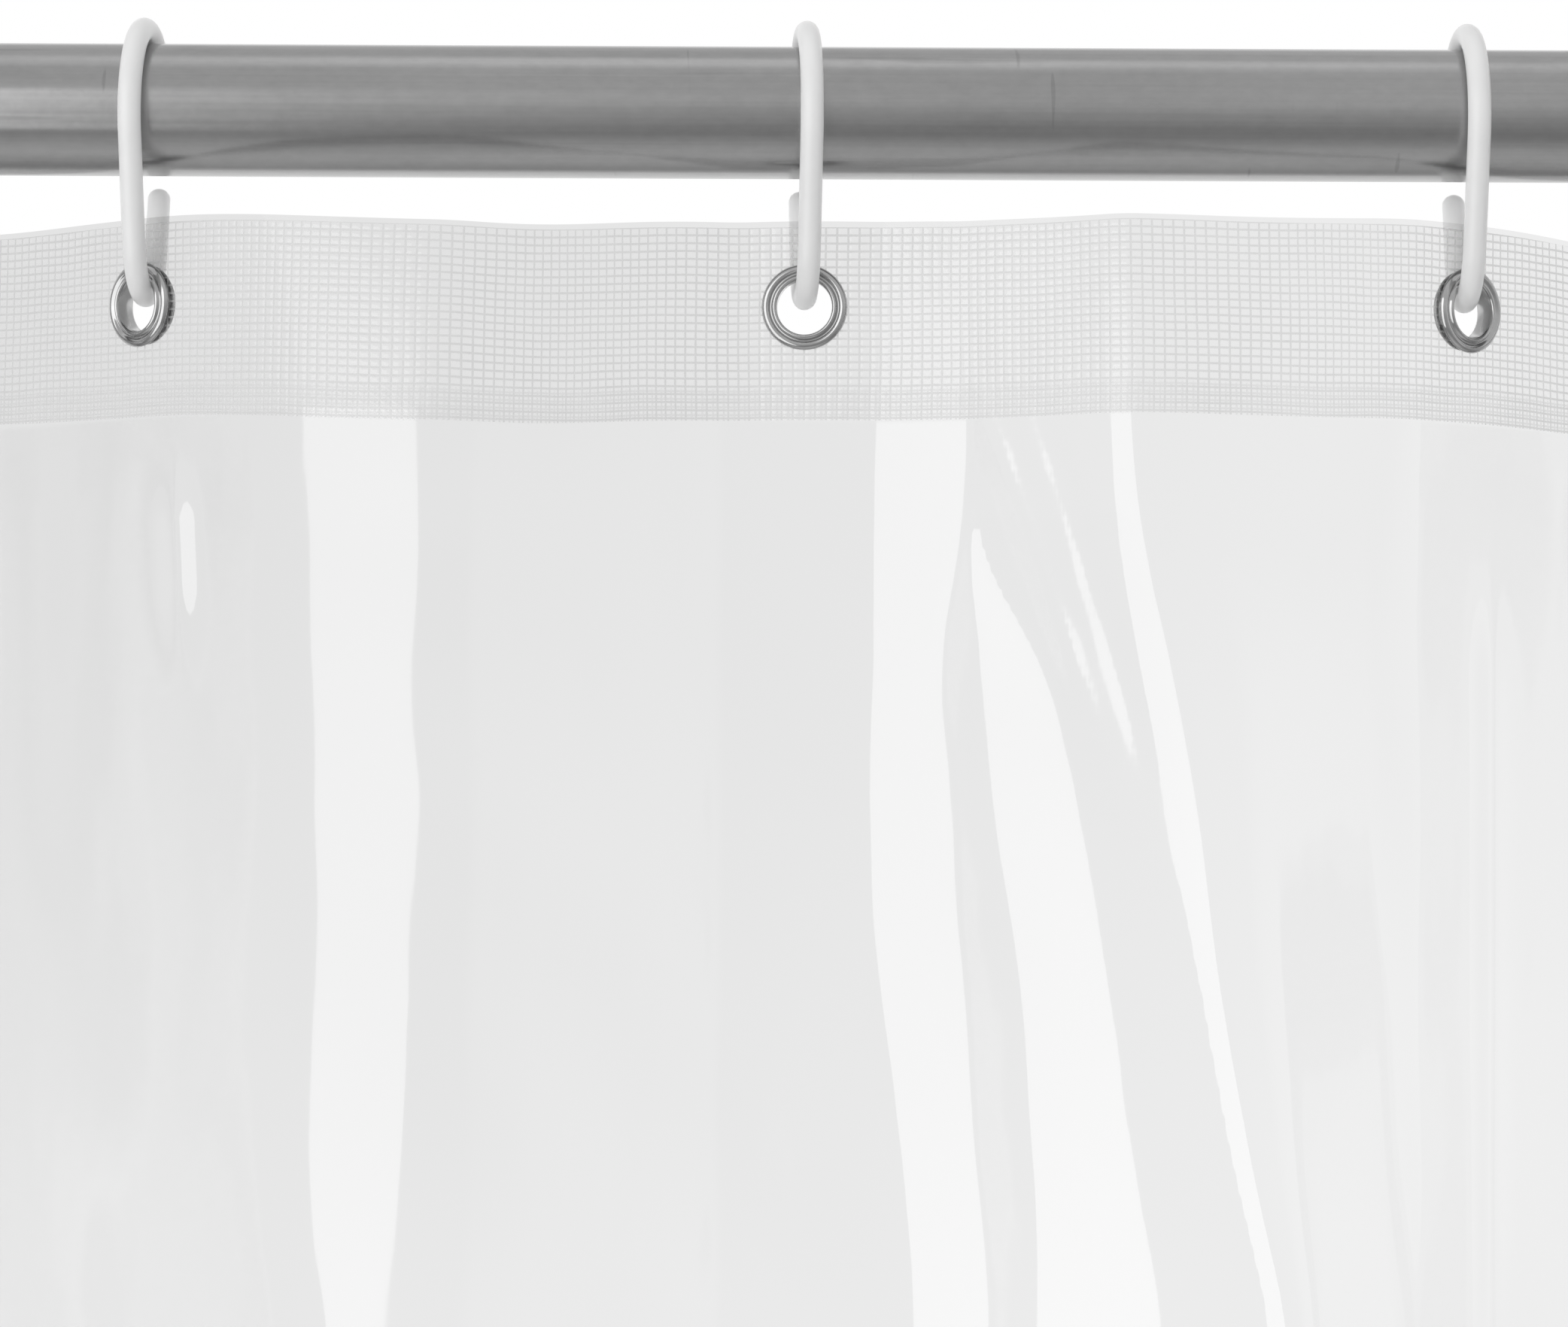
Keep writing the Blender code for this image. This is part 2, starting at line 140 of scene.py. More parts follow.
class Finish:
    """A material, or the room's world, being made from nodes."""

    def __init__(self, name, kind="materials"):
        self.made = getattr(bpy.data, kind).new(name)
        self.made.use_nodes = True
        self.tree = self.made.node_tree
        self.tree.nodes.clear()

    def node(self, kind, settings=None, values=None, output=0):
        """Makes a node, sets its settings and then its sockets, and gives back one output as a Wire."""
        made = self.tree.nodes.new(kind)
        for name, setting in (settings or {}).items():
            if name == "stops":
                self.set_stops(made.color_ramp.elements, setting)
            else:
                setattr(made, name, setting)
        for name, value in (values or {}).items():
            if isinstance(value, Wire):
                self.tree.links.new(value.socket, made.inputs[name])
            else:
                made.inputs[name].default_value = value
        return Wire(self, made.outputs[output])

    @staticmethod
    def set_stops(elements, stops):
        """Keeps a new ramp's two end stops, adds the others at their places, and then gives each its grey."""
        for place, _ in stops[1:-1]:
            elements.new(place)
        for element, (_, grey) in zip(elements, stops):
            element.color = (grey, grey, grey, 1)

    def place(self, scale=(1, 1, 1)):
        """Object coordinates, stretched by scale."""
        spot = self.node("ShaderNodeTexCoord", output="Object")
        return self.node("ShaderNodeMapping", {}, {"Vector": spot, "Scale": scale})

    def noise(self, vector, scale, detail=2.0, roughness=0.5):
        return self.node(
            "ShaderNodeTexNoise", {}, {"Vector": vector, "Scale": scale, "Detail": detail, "Roughness": roughness}
        )

    def shade(self, factor, dark, light):
        """A colour between two ends by a factor, each end a grey or a wire that carries a colour."""
        dark, light = (end if isinstance(end, Wire) else (end, end, end, 1) for end in (dark, light))
        return self.node("ShaderNodeMix", {"data_type": "RGBA"}, {"Factor": factor, 6: dark, 7: light}, 2)

    def bump(self, height, distance, strength):
        return self.node("ShaderNodeBump", {}, {"Height": height, "Distance": distance, "Strength": strength})

    def done(self, shader, output="ShaderNodeOutputMaterial"):
        self.tree.links.new(shader.socket, self.tree.nodes.new(output).inputs["Surface"])
        return self.made


def soft_box(name, place, aim, size, radiance):
    """A rectangular light of this radiance, turned from its place to its aim and never seen by the camera."""
    light = bpy.data.lights.new(name, "AREA")
    light.shape = "RECTANGLE"
    light.size, light.size_y = size
    light.energy = radiance * size[0] * size[1] * math.pi
    light.diffuse_factor = DIFFUSE_SHARE
    box = bpy.data.objects.new(name, light)
    box.location = place
    box.rotation_euler = (Vector(aim) - Vector(place)).to_track_quat("-Z", "Y").to_euler()
    box.visible_camera = False
    bpy.context.scene.collection.objects.link(box)
    return box


middle = ring_x(7) - CAMERA_LEFT_OF_RING
soft_box("key_box", (middle - 1.15, -1.35, -0.35), (middle, 0, -0.42), (1.75, 2.6), KEY_RADIANCE)
top_box = soft_box("top_box", (middle, -0.6, 1.5), (middle, 0, -0.12), (2.4, 1.2), TOP_RADIANCE)
top_box.visible_glossy = False

paint = Finish("pale floor")
painted = paint.done(
    paint.node("ShaderNodeBsdfPrincipled", {}, {"Base Color": (0.9, 0.9, 0.9, 1), "Roughness": 0.8})
)
floor_mesh = bpy.data.meshes.new("studio_floor")
floor_mesh.from_pydata([(x, y, cad_low[2] - FLOOR_BELOW_HEM) for x, y in FLOOR_CORNERS], [], [(0, 1, 2, 3)])
floor_mesh.materials.append(painted)
studio_floor = bpy.data.objects.new("studio_floor", floor_mesh)
bpy.context.scene.collection.objects.link(studio_floor)
studio_floor.visible_glossy = False

room = Finish("white room", "worlds")
way = room.node("ShaderNodeTexCoord", output="Generated")
way_x, way_y, way_z = (room.node("ShaderNodeSeparateXYZ", {}, {0: way}, axis) for axis in "XYZ")
by_height = room.node("ShaderNodeValToRGB", {"stops": ROOM_GREYS}, {0: way_z * 0.5 + 0.5})
behind = (way_y - way_z.math("MAXIMUM", way_z * -0.55) * 1.2).ramp(0.05, 0.40)
far_right = way_x.ramp(0.80, 1.0) * 0.6
mirrored = room.shade(far_right, room.shade(behind, by_height, 1.0), 1.0)
lighting = room.shade(room.node("ShaderNodeLightPath", output="Is Diffuse Ray"), mirrored, ROOM_FILL)
seen = room.shade(room.node("ShaderNodeLightPath", output="Is Camera Ray"), lighting, 1.0)
bpy.context.scene.world = room.done(room.node("ShaderNodeBackground", {}, {"Color": seen}), "ShaderNodeOutputWorld")
bpy.context.scene.view_settings.view_transform = "Standard"

camera_lens = bpy.data.cameras.new("camera")
camera_lens.lens = CAMERA_LENS_MM
camera = bpy.data.objects.new("camera", camera_lens)
camera.location = (middle, -CAMERA_DISTANCE, CAMERA_HEIGHT)
camera.rotation_euler = (math.radians(90 + CAMERA_RISE_DEG), math.radians(CAMERA_ROLL_DEG), 0)
bpy.context.scene.collection.objects.link(camera)
bpy.context.scene.camera = camera

# ------------------------------------------------------------------ rod
# A one inch stainless tube, drawn and then brushed along its length. Its grain runs with the tube, with a few
# hairline scratches where rings have been slid along it, and it is cut square and sits in the wall flanges.


def grid_mesh(name, points, material, around=False, along=False, caps=False, uv=None, normals=None, keep=None):
    """A mesh of quads between the points of a rows by columns grid.

    around joins the last column to the first, along joins the last row to the first, and caps closes the first
    and last rows with a face each. uv holds a place for each point, normals a direction, and keep says which
    quads stay.
    """
    rows, columns = points.shape[:2]
    index = np.arange(rows * columns).reshape(rows, columns)
    if around:
        index = np.concatenate([index, index[:, :1]], axis=1)
    if along:
        index = np.concatenate([index, index[:1]], axis=0)
    quads = np.stack([index[:-1, :-1], index[:-1, 1:], index[1:, 1:], index[1:, :-1]], axis=-1).reshape(-1, 4)
    if keep is not None:
        quads = quads[keep.ravel()]
    faces = quads.tolist()
    if caps:
        faces += [index[0, :columns][::-1].tolist(), index[rows - 1, :columns].tolist()]
    mesh = bpy.data.meshes.new(name)
    mesh.from_pydata(points.reshape(-1, 3).tolist(), [], faces)
    mesh.shade_smooth()
    if uv is not None:
        layer = mesh.uv_layers.new(name="cut")
        corner = np.empty(len(mesh.loops), np.int32)
        mesh.loops.foreach_get("vertex_index", corner)
        layer.data.foreach_set("uv", uv.reshape(-1, 2)[corner].astype(np.float32).ravel())
    if normals is not None:
        mesh.normals_split_custom_set_from_vertices(normals.reshape(-1, 3).tolist())
    mesh.materials.append(material)
    made = bpy.data.objects.new(name, mesh)
    bpy.context.scene.collection.objects.link(made)
    return made


def turned(profile, steps, place, side, up, axis):
    """A profile of (radius, height) turned about an axis at place; side and up span the plane across it."""
    profile = np.asarray(profile, float)
    turn = np.linspace(0, 2 * math.pi, steps, endpoint=False)[:, None, None]
    radius, height = profile[None, :, :1], profile[None, :, 1:]
    side, up, axis = (np.asarray(v, float) for v in (side, up, axis))
    return np.asarray(place) + radius * (np.cos(turn) * side + np.sin(turn) * up) + height * axis


ROD_RADIUS = 0.0127
ROD_BORE = 0.0115
ROD_EDGE = 0.0003

steel = Finish("brushed stainless")
grain = steel.noise(steel.place((6, 900, 900)), 1.0, 3.0, 0.6)
cloud = steel.noise(steel.place((9, 40, 40)), 1.0, 3.0, 0.55)
hairline = steel.noise(steel.place((14, 260, 260)), 1.0, 1.0).ramp(0.70, 0.76)
stain = steel.noise(steel.place((60, 160, 160)), 1.0, 4.0, 0.6).ramp(0.60, 0.78)
speckle = steel.noise(steel.place((260, 420, 420)), 1.0, 3.0, 0.65)
nick = steel.noise(steel.place((420, 55, 55)), 1.0, 1.0).ramp(0.735, 0.775)
worn = cloud * 0.4 + grain * 0.3 + speckle * 0.3
steel_colour = steel.shade(worn - hairline * 0.2 - stain * 0.1 - nick * 0.25, 0.30, 0.55)
brushed = steel.done(
    steel.node(
        "ShaderNodeBsdfPrincipled",
        {},
        {
            "Base Color": steel_colour,
            "Metallic": 1.0,
            "Roughness": 0.15 + cloud * 0.06 + grain * 0.05,
            "Normal": steel.bump(grain * 0.6 + speckle * 0.6 + hairline * 0.5, 0.00003, 0.6),
        },
    )
)
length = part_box("rod_tube")[1][0] - ROD_LEFT
tube_line = [
    (ROD_BORE, 0),
    (ROD_RADIUS - ROD_EDGE, 0),
    (ROD_RADIUS, ROD_EDGE),
    *[(ROD_RADIUS, x) for x in np.linspace(0.02, length - 0.02, 60)],
    (ROD_RADIUS, length - ROD_EDGE),
    (ROD_RADIUS - ROD_EDGE, length),
    (ROD_BORE, length),
]
tube = turned(tube_line, 96, (ROD_LEFT, 0, 0), (0, 1, 0), (0, 0, 1), (1, 0, 0))
rod = grid_mesh("rod", tube[:, ::-1], brushed, around=True, along=True)
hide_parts("rod_tube")
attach(rod, "rod")
for name in ("left_grub_screw", "right_grub_screw"):
    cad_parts[name].data.materials.clear()
    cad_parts[name].data.materials.append(brushed)

# ------------------------------------------------------------------ wall flanges
# Two cast cups, satin chromed, each held to its wall by three pan-head screws and gripping the tube's end with a
# grub screw underneath. The castings are turned on their faces, which leaves fine rings.

FLANGE_LINE = [
    (0.0130, 0.0030),
    (0.0130, 0.0214),
    (0.0136, 0.0220),
    (0.0156, 0.0220),
    (0.0163, 0.0217),
    (0.0165, 0.0210),
    (0.0165, 0.0046),
    (0.0168, 0.0037),
    (0.0178, 0.0031),
    (0.0190, 0.0030),
    (0.0310, 0.0030),
    (0.0317, 0.0027),
    (0.0320, 0.0020),
    (0.0320, 0.0008),
    (0.0314, 0.0),
    (0.0130, 0.0),
]
SCREW_CIRCLE = 0.0242
SCREW_HEAD = [(0.0002, 0.0052), (0.0012, 0.0051), (0.0026, 0.0046), (0.0036, 0.0038), (0.0038, 0.0032)]

chrome = Finish("satin chrome")
cast = chrome.noise(chrome.place((1, 1, 1)), 320.0, 3.0)
film_of_wear = chrome.noise(chrome.place((1, 1, 1)), 45.0, 3.0)
satin = chrome.done(
    chrome.node(
        "ShaderNodeBsdfPrincipled",
        {},
        {
            "Base Color": chrome.shade(film_of_wear, 0.50, 0.68),
            "Metallic": 1.0,
            "Roughness": 0.16 + film_of_wear * 0.14,
            "Normal": chrome.bump(cast, 0.00002, 0.5),
        },
    )
)
for side_name, wall_x, outward in (("left", 0.0, 1.0), ("right", WALL_TO_WALL, -1.0)):
    cup = turned(FLANGE_LINE, 96, (wall_x, 0, 0), (0, outward, 0), (0, 0, 1), (outward, 0, 0))
    flange = grid_mesh(f"{side_name}_wall_flange", cup, satin, around=True, along=True)
    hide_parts(f"{side_name}_flange")
    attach(flange, "rod")
    for number in range(3):
        turn = math.radians(90 + 120 * number)
        spot = (wall_x, SCREW_CIRCLE * math.cos(turn), SCREW_CIRCLE * math.sin(turn))
        head = turned(SCREW_HEAD, 24, spot, (0, outward, 0), (0, 0, 1), (outward, 0, 0))
        screw_name = f"{side_name}_wall_screw_{number + 1}"
        screw = grid_mesh(screw_name, head.transpose(1, 0, 2), satin, around=True, caps=True)
        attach(screw, "rod")

# ------------------------------------------------------------------ rings
# Open C rings, moulded in white plastic with a round bar that is a little deeper than wide. Each hangs on the
# rod by its larger bend, and its blunt tip is passed through the eyelet from the front and stands behind the cloth.

BAR_WIDTH = 0.0044
BAR_DEPTH = 0.0046
TOP_INNER_RADIUS = 0.0150
BOTTOM_INNER_RADIUS = 0.0095
LIFT_IN_EYELET = 0.0009
TOP_LINE_RADIUS = TOP_INNER_RADIUS + BAR_DEPTH / 2
BOTTOM_LINE_RADIUS = BOTTOM_INNER_RADIUS + BAR_DEPTH / 2
RING_YAW_DEG = (-3, 2, -2, 3, -2, -4, 4, 2, -3, 1, -4, 2)
ring_low, ring_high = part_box("ring_07")
TOP_CENTRE = ring_high[2] - TOP_INNER_RADIUS - BAR_DEPTH
BOTTOM_CENTRE = ring_low[2] + BOTTOM_INNER_RADIUS + LIFT_IN_EYELET + BAR_DEPTH
MOUTH_TOP = -0.0020
TIP_TOP = -0.0133


def ring_line():
    """The bar's centre line (y, z): straight up the back from the tip's foot, a small arc, a tangent, a large arc."""
    taper = math.asin((TOP_LINE_RADIUS - BOTTOM_LINE_RADIUS) / (TOP_CENTRE - BOTTOM_CENTRE))
    small = np.linspace(-taper, -math.pi + taper, 60)
    mouth = math.asin((MOUTH_TOP - TOP_CENTRE) / TOP_LINE_RADIUS)
    large = np.linspace(math.pi + taper, mouth, 70)
    bottom = np.stack([BOTTOM_LINE_RADIUS * np.cos(small), BOTTOM_CENTRE + BOTTOM_LINE_RADIUS * np.sin(small)], 1)
    top = np.stack([TOP_LINE_RADIUS * np.cos(large), TOP_CENTRE + TOP_LINE_RADIUS * np.sin(large)], 1)
    tip_z = TIP_TOP - BAR_DEPTH / 2
    tip = np.array([[bottom[0, 0] + (tip_z - bottom[0, 1]) * math.tan(taper), tip_z]])
    rise = np.linspace(0, 1, 12)[:, None]
    front = bottom[-1] + rise[1:-1] * (top[0] - bottom[-1])
    return np.concatenate([tip + rise[:-1] * (bottom[0] - tip), bottom, front, top])


def bar_along(line, width, depth, sides=28):
    """An oval section carried along a line in the YZ plane, its size falling to nothing round each blunt end."""
    along = np.gradient(line, axis=0)
    along /= np.linalg.norm(along, axis=1)[:, None]
    end_steps = 7
    blunt = np.sin(np.linspace(0, math.pi / 2, end_steps + 1))
    start = line[0] - along[0] * (blunt[::-1, None] * 0.9 * depth / 2)
    end = line[-1] + along[-1] * (blunt[:, None] * 0.9 * depth / 2)
    size = np.sqrt(1 - (blunt * 0.995) ** 2)
    line = np.concatenate([start[:-1], line, end[1:]])
    along = np.concatenate([np.repeat(along[:1], end_steps, 0), along, np.repeat(along[-1:], end_steps, 0)])
    size = np.concatenate([size[::-1][:-1], np.ones(len(line) - 2 * end_steps), size[1:]])
    turn = np.linspace(0, 2 * math.pi, sides, endpoint=False)
    out = np.stack([along[:, 1], -along[:, 0]], 1)
    x = size[:, None] * width / 2 * np.cos(turn)
    yz = line[:, None] + size[:, None, None] * depth / 2 * np.sin(turn)[None, :, None] * out[:, None]
    return np.concatenate([x[..., None], yz], axis=-1)


plastic = Finish("white moulded plastic")
mottle = plastic.noise(plastic.place((1, 1, 1)), 90.0, 2.0)
orange_peel = plastic.noise(plastic.place((1, 1, 1)), 700.0, 2.0)
# Painted light: the back of the ring below the rod, its tip behind the cloth, is painted paler than the rest, standing
# in for the back light that shines through the tip. The mottle is the plastic's own uneven tone.
at_back = plastic.node("ShaderNodeSeparateXYZ", {}, {0: plastic.place()}, "Y").ramp(0.004, 0.010)
below_rod = (-plastic.node("ShaderNodeSeparateXYZ", {}, {0: plastic.place()}, "Z")).ramp(0.006, 0.012)
mottle_and_painted_tip_light = mottle * 0.14 + at_back * below_rod * 0.86
moulded = plastic.done(
    plastic.node(
        "ShaderNodeBsdfPrincipled",
        {},
        {
            "Base Color": plastic.shade(mottle_and_painted_tip_light, 0.62, 0.97),
            "Roughness": 0.26 + mottle * 0.08,
            "Subsurface Weight": 0.85,
            "Subsurface Radius": (0.004, 0.004, 0.004),
            "Subsurface Scale": 1.0,
            "Normal": plastic.bump(orange_peel, 0.00002, 0.4),
        },
    )
)
ring_shape = bar_along(ring_line(), BAR_WIDTH, BAR_DEPTH)
bodies = ["cloth_and_ring_01", *[f"ring_{number:02d}_body" for number in range(2, RING_COUNT + 1)]]
for number, yaw_deg in enumerate(RING_YAW_DEG, 1):
    yaw = math.radians(yaw_deg)
    spun = ring_shape @ np.array([[math.cos(yaw), math.sin(yaw), 0], [-math.sin(yaw), math.cos(yaw), 0], [0, 0, 1]])
    ring = grid_mesh(f"curtain_ring_{number:02d}", spun + (ring_x(number), 0, 0), moulded, around=True, caps=True)
    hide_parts(f"ring_{number:02d}")
    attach(ring, bodies[number - 1])

# ------------------------------------------------------------------ eyelets
# Two-part eyelets, pressed from sheet and nickel plated: a flanged barrel with a rolled bead round its mouth and
# a groove inside its rim, closed through the cloth over a plain washer.

EYELET_HEADING_DEG = (34, -36, 38, -34, 3, 42, 3, -40, 38, -36, 34, -32)
EYELET_HEIGHT = (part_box("eyelet_07")[0][2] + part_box("eyelet_07")[1][2]) / 2
FILM_THICKNESS = 0.00025
BAND_FRONT = FILM_THICKNESS / 2 + 0.0003 + 0.0004
rim = BAND_FRONT + 0.0003
EYELET_LINE = [
    (0.00530, rim + 0.00020),
    (0.00531, rim + 0.00070),
    (0.00538, rim + 0.00096),
    (0.00550, rim + 0.00118),
    (0.00572, rim + 0.00134),
    (0.00594, rim + 0.00130),
    (0.00620, rim + 0.00104),
    (0.00634, rim + 0.00072),
    (0.00650, rim + 0.00058),
    (0.00668, rim + 0.00064),
    (0.00690, rim + 0.00088),
    (0.00718, rim + 0.00104),
    (0.00752, rim + 0.00104),
    (0.00786, rim + 0.00086),
    (0.00812, rim + 0.00056),
    (0.00826, rim + 0.00020),
    (0.00820, rim + 0.00002),
    (0.00580, rim + 0.00002),
    (0.00570, -0.00130),
    (0.00690, -0.00140),
    (0.00700, -0.00165),
    (0.00680, -0.00190),
    (0.00610, -0.00202),
    (0.00552, -0.00190),
    (0.00533, -0.00150),
]
WASHER_LINE = [
    (0.00600, -0.00098),
    (0.00640, -0.00101),
    (0.00742, -0.00100),
    (0.00764, -0.00085),
    (0.00764, -0.00055),
    (0.00752, -0.00044),
    (0.00600, -0.00044),
]

nickel = Finish("nickel plate")
scuff = nickel.noise(nickel.place((1, 1, 1)), 260.0, 3.0, 0.6)
tarnish = nickel.noise(nickel.place((1, 1, 1)), 1200.0, 2.0)
plated = nickel.done(
    nickel.node(
        "ShaderNodeBsdfPrincipled",
        {},
        {
            "Base Color": nickel.shade(scuff, 0.42, 0.62),
            "Metallic": 1.0,
            "Roughness": 0.07 + scuff * 0.08,
            "Normal": nickel.bump(tarnish, 0.00001, 0.5),
        },
    )
)
for number, heading_deg in enumerate(EYELET_HEADING_DEG, 1):
    heading = math.radians(heading_deg)
    along = (math.cos(heading), -math.sin(heading), 0)
    room_side = (-math.sin(heading), -math.cos(heading), 0)
    spot = (ring_x(number), 0, EYELET_HEIGHT)
    for part, line in (("eyelet", EYELET_LINE), ("washer", WASHER_LINE)):
        shape = turned(line, 64, spot, along, (0, 0, 1), room_side)
        if part == "eyelet":
            shape = shape[:, ::-1]
        piece = grid_mesh(f"nickel_{part}_{number:02d}", shape, plated, around=True, along=True)
        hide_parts(f"{part}_{number:02d}")
        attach(piece, bodies[number - 1])

# ------------------------------------------------------------------ film
# One sheet of clear soft vinyl, cut 72 by 72 inches and hung with a fifth more cloth than rod. It stands in a
# round pleat between each two eyelets, and its own stiffness carries the pleats down to the hem, with shallow
# ripples and a few longer creases left from its packing. It is shown in a panel for each ring to ring run.

EYELET_PITCH = 0.1524
CLOTH_MARGIN = 0.0762
CLOTH_WIDTH = RING_COUNT * EYELET_PITCH
CLOTH_LENGTH = 1.829
FREE_EDGE_SPAN = 0.056
PLEAT_SIDE = (1, -1, 1, -1, -1, 1, 1, -1, 1, -1, 1)
CREST_SHARE = (0.46, 0.52, 0.55, 0.42, 0.58, 0.43, 0.60, 0.48, 0.54, 0.47, 0.52)
FLAT_AT_EYELET = 0.019
HANDLE_SHARE = 0.45
MAGNET_UNDER_RING = (1, 5, 8, 12)
MAGNET_HEIGHT = (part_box("magnet_1")[0][2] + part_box("magnet_1")[1][2]) / 2
FINE_EDGE = 0.012
FINE_ROWS = 0.0096
PUNCHED_RADIUS = 0.0068
DRIFT = 0.010
FOLD_SOFTNESS = 0.0035
HEAD_LEAN = 0.010
RIPPLE_COUNT = 26
RIPPLE_SHARE = 0.0011
film_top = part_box("vinyl_sheet")[1][2]
band_low, band_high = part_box("mesh_header")[0][2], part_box("mesh_header")[1][2]


def toward(degrees):
    """The cloth's direction seen from above: along X, and to the room side for a positive angle."""
    return np.array([math.cos(math.radians(degrees)), -math.sin(math.radians(degrees))])


def flank(start, start_way, end, end_way, count=160):
    """A cubic Bezier in plan whose two handles are a share of its span along the rod."""
    handle = HANDLE_SHARE * abs(end[0] - start[0])
    t = np.linspace(0, 1, count)[:, None]
    near, far = start + start_way * handle, end - end_way * handle
    return (1 - t) ** 3 * start + 3 * (1 - t) ** 2 * t * near + 3 * (1 - t) * t**2 * far + t**3 * end


def run_length(points):
    return np.linalg.norm(np.diff(points, axis=0), axis=1).sum()


def deepest_fit(make, length):
    """The points of make(depth) at the depth where their length is the cloth's, found by halving."""
    low, high = 0.0, length
    for _ in range(40):
        half = (low + high) / 2
        low, high = (half, high) if run_length(make(half)) < length else (low, half)
    return make((low + high) / 2)


def pleat(number):
    """The cloth between two eyelets: out to a crest on its own side and back."""
    leave, arrive = (toward(EYELET_HEADING_DEG[n]) for n in (number - 1, number))
    start = np.array([ring_x(number), 0]) + leave * FLAT_AT_EYELET / 2
    end = np.array([ring_x(number + 1), 0]) - arrive * FLAT_AT_EYELET / 2
    crest_x = ring_x(number) + CREST_SHARE[number - 1] * RING_PITCH

    def shape(depth):
        crest = np.array([crest_x, -PLEAT_SIDE[number - 1] * depth])
        return np.concatenate([flank(start, leave, crest, toward(0)), flank(crest, toward(0), end, arrive)])

    return deepest_fit(shape, EYELET_PITCH - FLAT_AT_EYELET)


def free_edge(number, side):
    """The cloth outside an end eyelet, run outwards to its edge, which stands at the back."""
    outward = toward(EYELET_HEADING_DEG[number - 1]) * side
    start = np.array([ring_x(number), 0]) + outward * FLAT_AT_EYELET / 2

    def shape(depth):
        edge = np.array([ring_x(number) + side * FREE_EDGE_SPAN, depth])
        return flank(start, outward, edge, toward(0) * side)

    return deepest_fit(shape, CLOTH_MARGIN - FLAT_AT_EYELET / 2)


plan = np.concatenate([free_edge(1, -1)[::-1], *[pleat(n) for n in range(1, RING_COUNT)], free_edge(RING_COUNT, 1)])
run = np.concatenate([[0], np.cumsum(np.linalg.norm(np.diff(plan, axis=0), axis=1))])
run *= CLOTH_WIDTH / run[-1]

# The places across the cloth where the grid has a column: close together by the eyelets and in the creased pleats.
edge_steps = np.linspace(0, FINE_EDGE, 10, endpoint=False)
margin_inner = np.linspace(0, CLOTH_MARGIN - FINE_EDGE, 30, endpoint=False)
margin_steps = np.concatenate([margin_inner, CLOTH_MARGIN - FINE_EDGE + edge_steps])
panels = [margin_steps]
for number in range(1, RING_COUNT):
    inner_count = 124 if number in (6, 7) else 58
    inner_steps = np.linspace(FINE_EDGE, EYELET_PITCH - FINE_EDGE, inner_count, endpoint=False)
    one = np.concatenate([edge_steps, inner_steps, EYELET_PITCH - FINE_EDGE + edge_steps])
    panels.append(CLOTH_MARGIN + (number - 1) * EYELET_PITCH + one)
cuts = [0, *np.cumsum([len(panel) for panel in panels]).tolist()]
across = np.concatenate([*panels, CLOTH_WIDTH - margin_steps[::-1]])
across = np.insert(across, cuts[-1], CLOTH_WIDTH - CLOTH_MARGIN)
cuts.append(len(across) - 1)

down = np.concatenate(
    [
        np.linspace(film_top, EYELET_HEIGHT + FINE_ROWS, 4, endpoint=False),
        np.linspace(EYELET_HEIGHT + FINE_ROWS, EYELET_HEIGHT - FINE_ROWS, 16, endpoint=False),
        np.linspace(EYELET_HEIGHT - FINE_ROWS, -0.300, 104, endpoint=False),
        np.linspace(-0.300, film_top - CLOTH_LENGTH, 130),
    ]
)
u, z = np.meshgrid(across, down)
pleat_share = np.mod((u - CLOTH_MARGIN) / EYELET_PITCH, 1.0)
pleat_index = np.floor((u - CLOTH_MARGIN) / EYELET_PITCH)
below = np.clip((band_low - z) / 0.17, 0, 1)
free = below * below * (3 - 2 * below)

# Below the head each pleat's crest drifts a little to one side, except in the two that stand in facets.
chance = np.random.default_rng(7)
drift = chance.uniform(-DRIFT, DRIFT, RING_COUNT + 1)
drift[7] = drift[6] = 0.0
drift_here = drift[np.clip(pleat_index, -1, RING_COUNT - 1).astype(int) + 1]
slid = u + drift_here * np.sin(math.pi * pleat_share) ** 2 * free
cloth_x = np.interp(slid, run, plan[:, 0]) + (u - slid) * np.cos(np.radians(20))
cloth_y = np.interp(slid, run, plan[:, 1])


def spread(values, sigma):
    """The values smoothed along the cloth with a bell curve of this width in metres."""
    even = np.linspace(0, CLOTH_WIDTH, 3601)
    bell = np.exp(-0.5 * (np.arange(-60, 61) * (even[1] / sigma)) ** 2)
    bell /= bell.sum()
    padded = np.pad(np.interp(even, across, values), 60, mode="reflect", reflect_type="odd")
    return np.interp(across, even, np.convolve(padded, bell, "valid"))


cloth_x = np.apply_along_axis(spread, 1, cloth_x, FOLD_SOFTNESS)
cloth_y = np.apply_along_axis(spread, 1, cloth_y, FOLD_SOFTNESS)

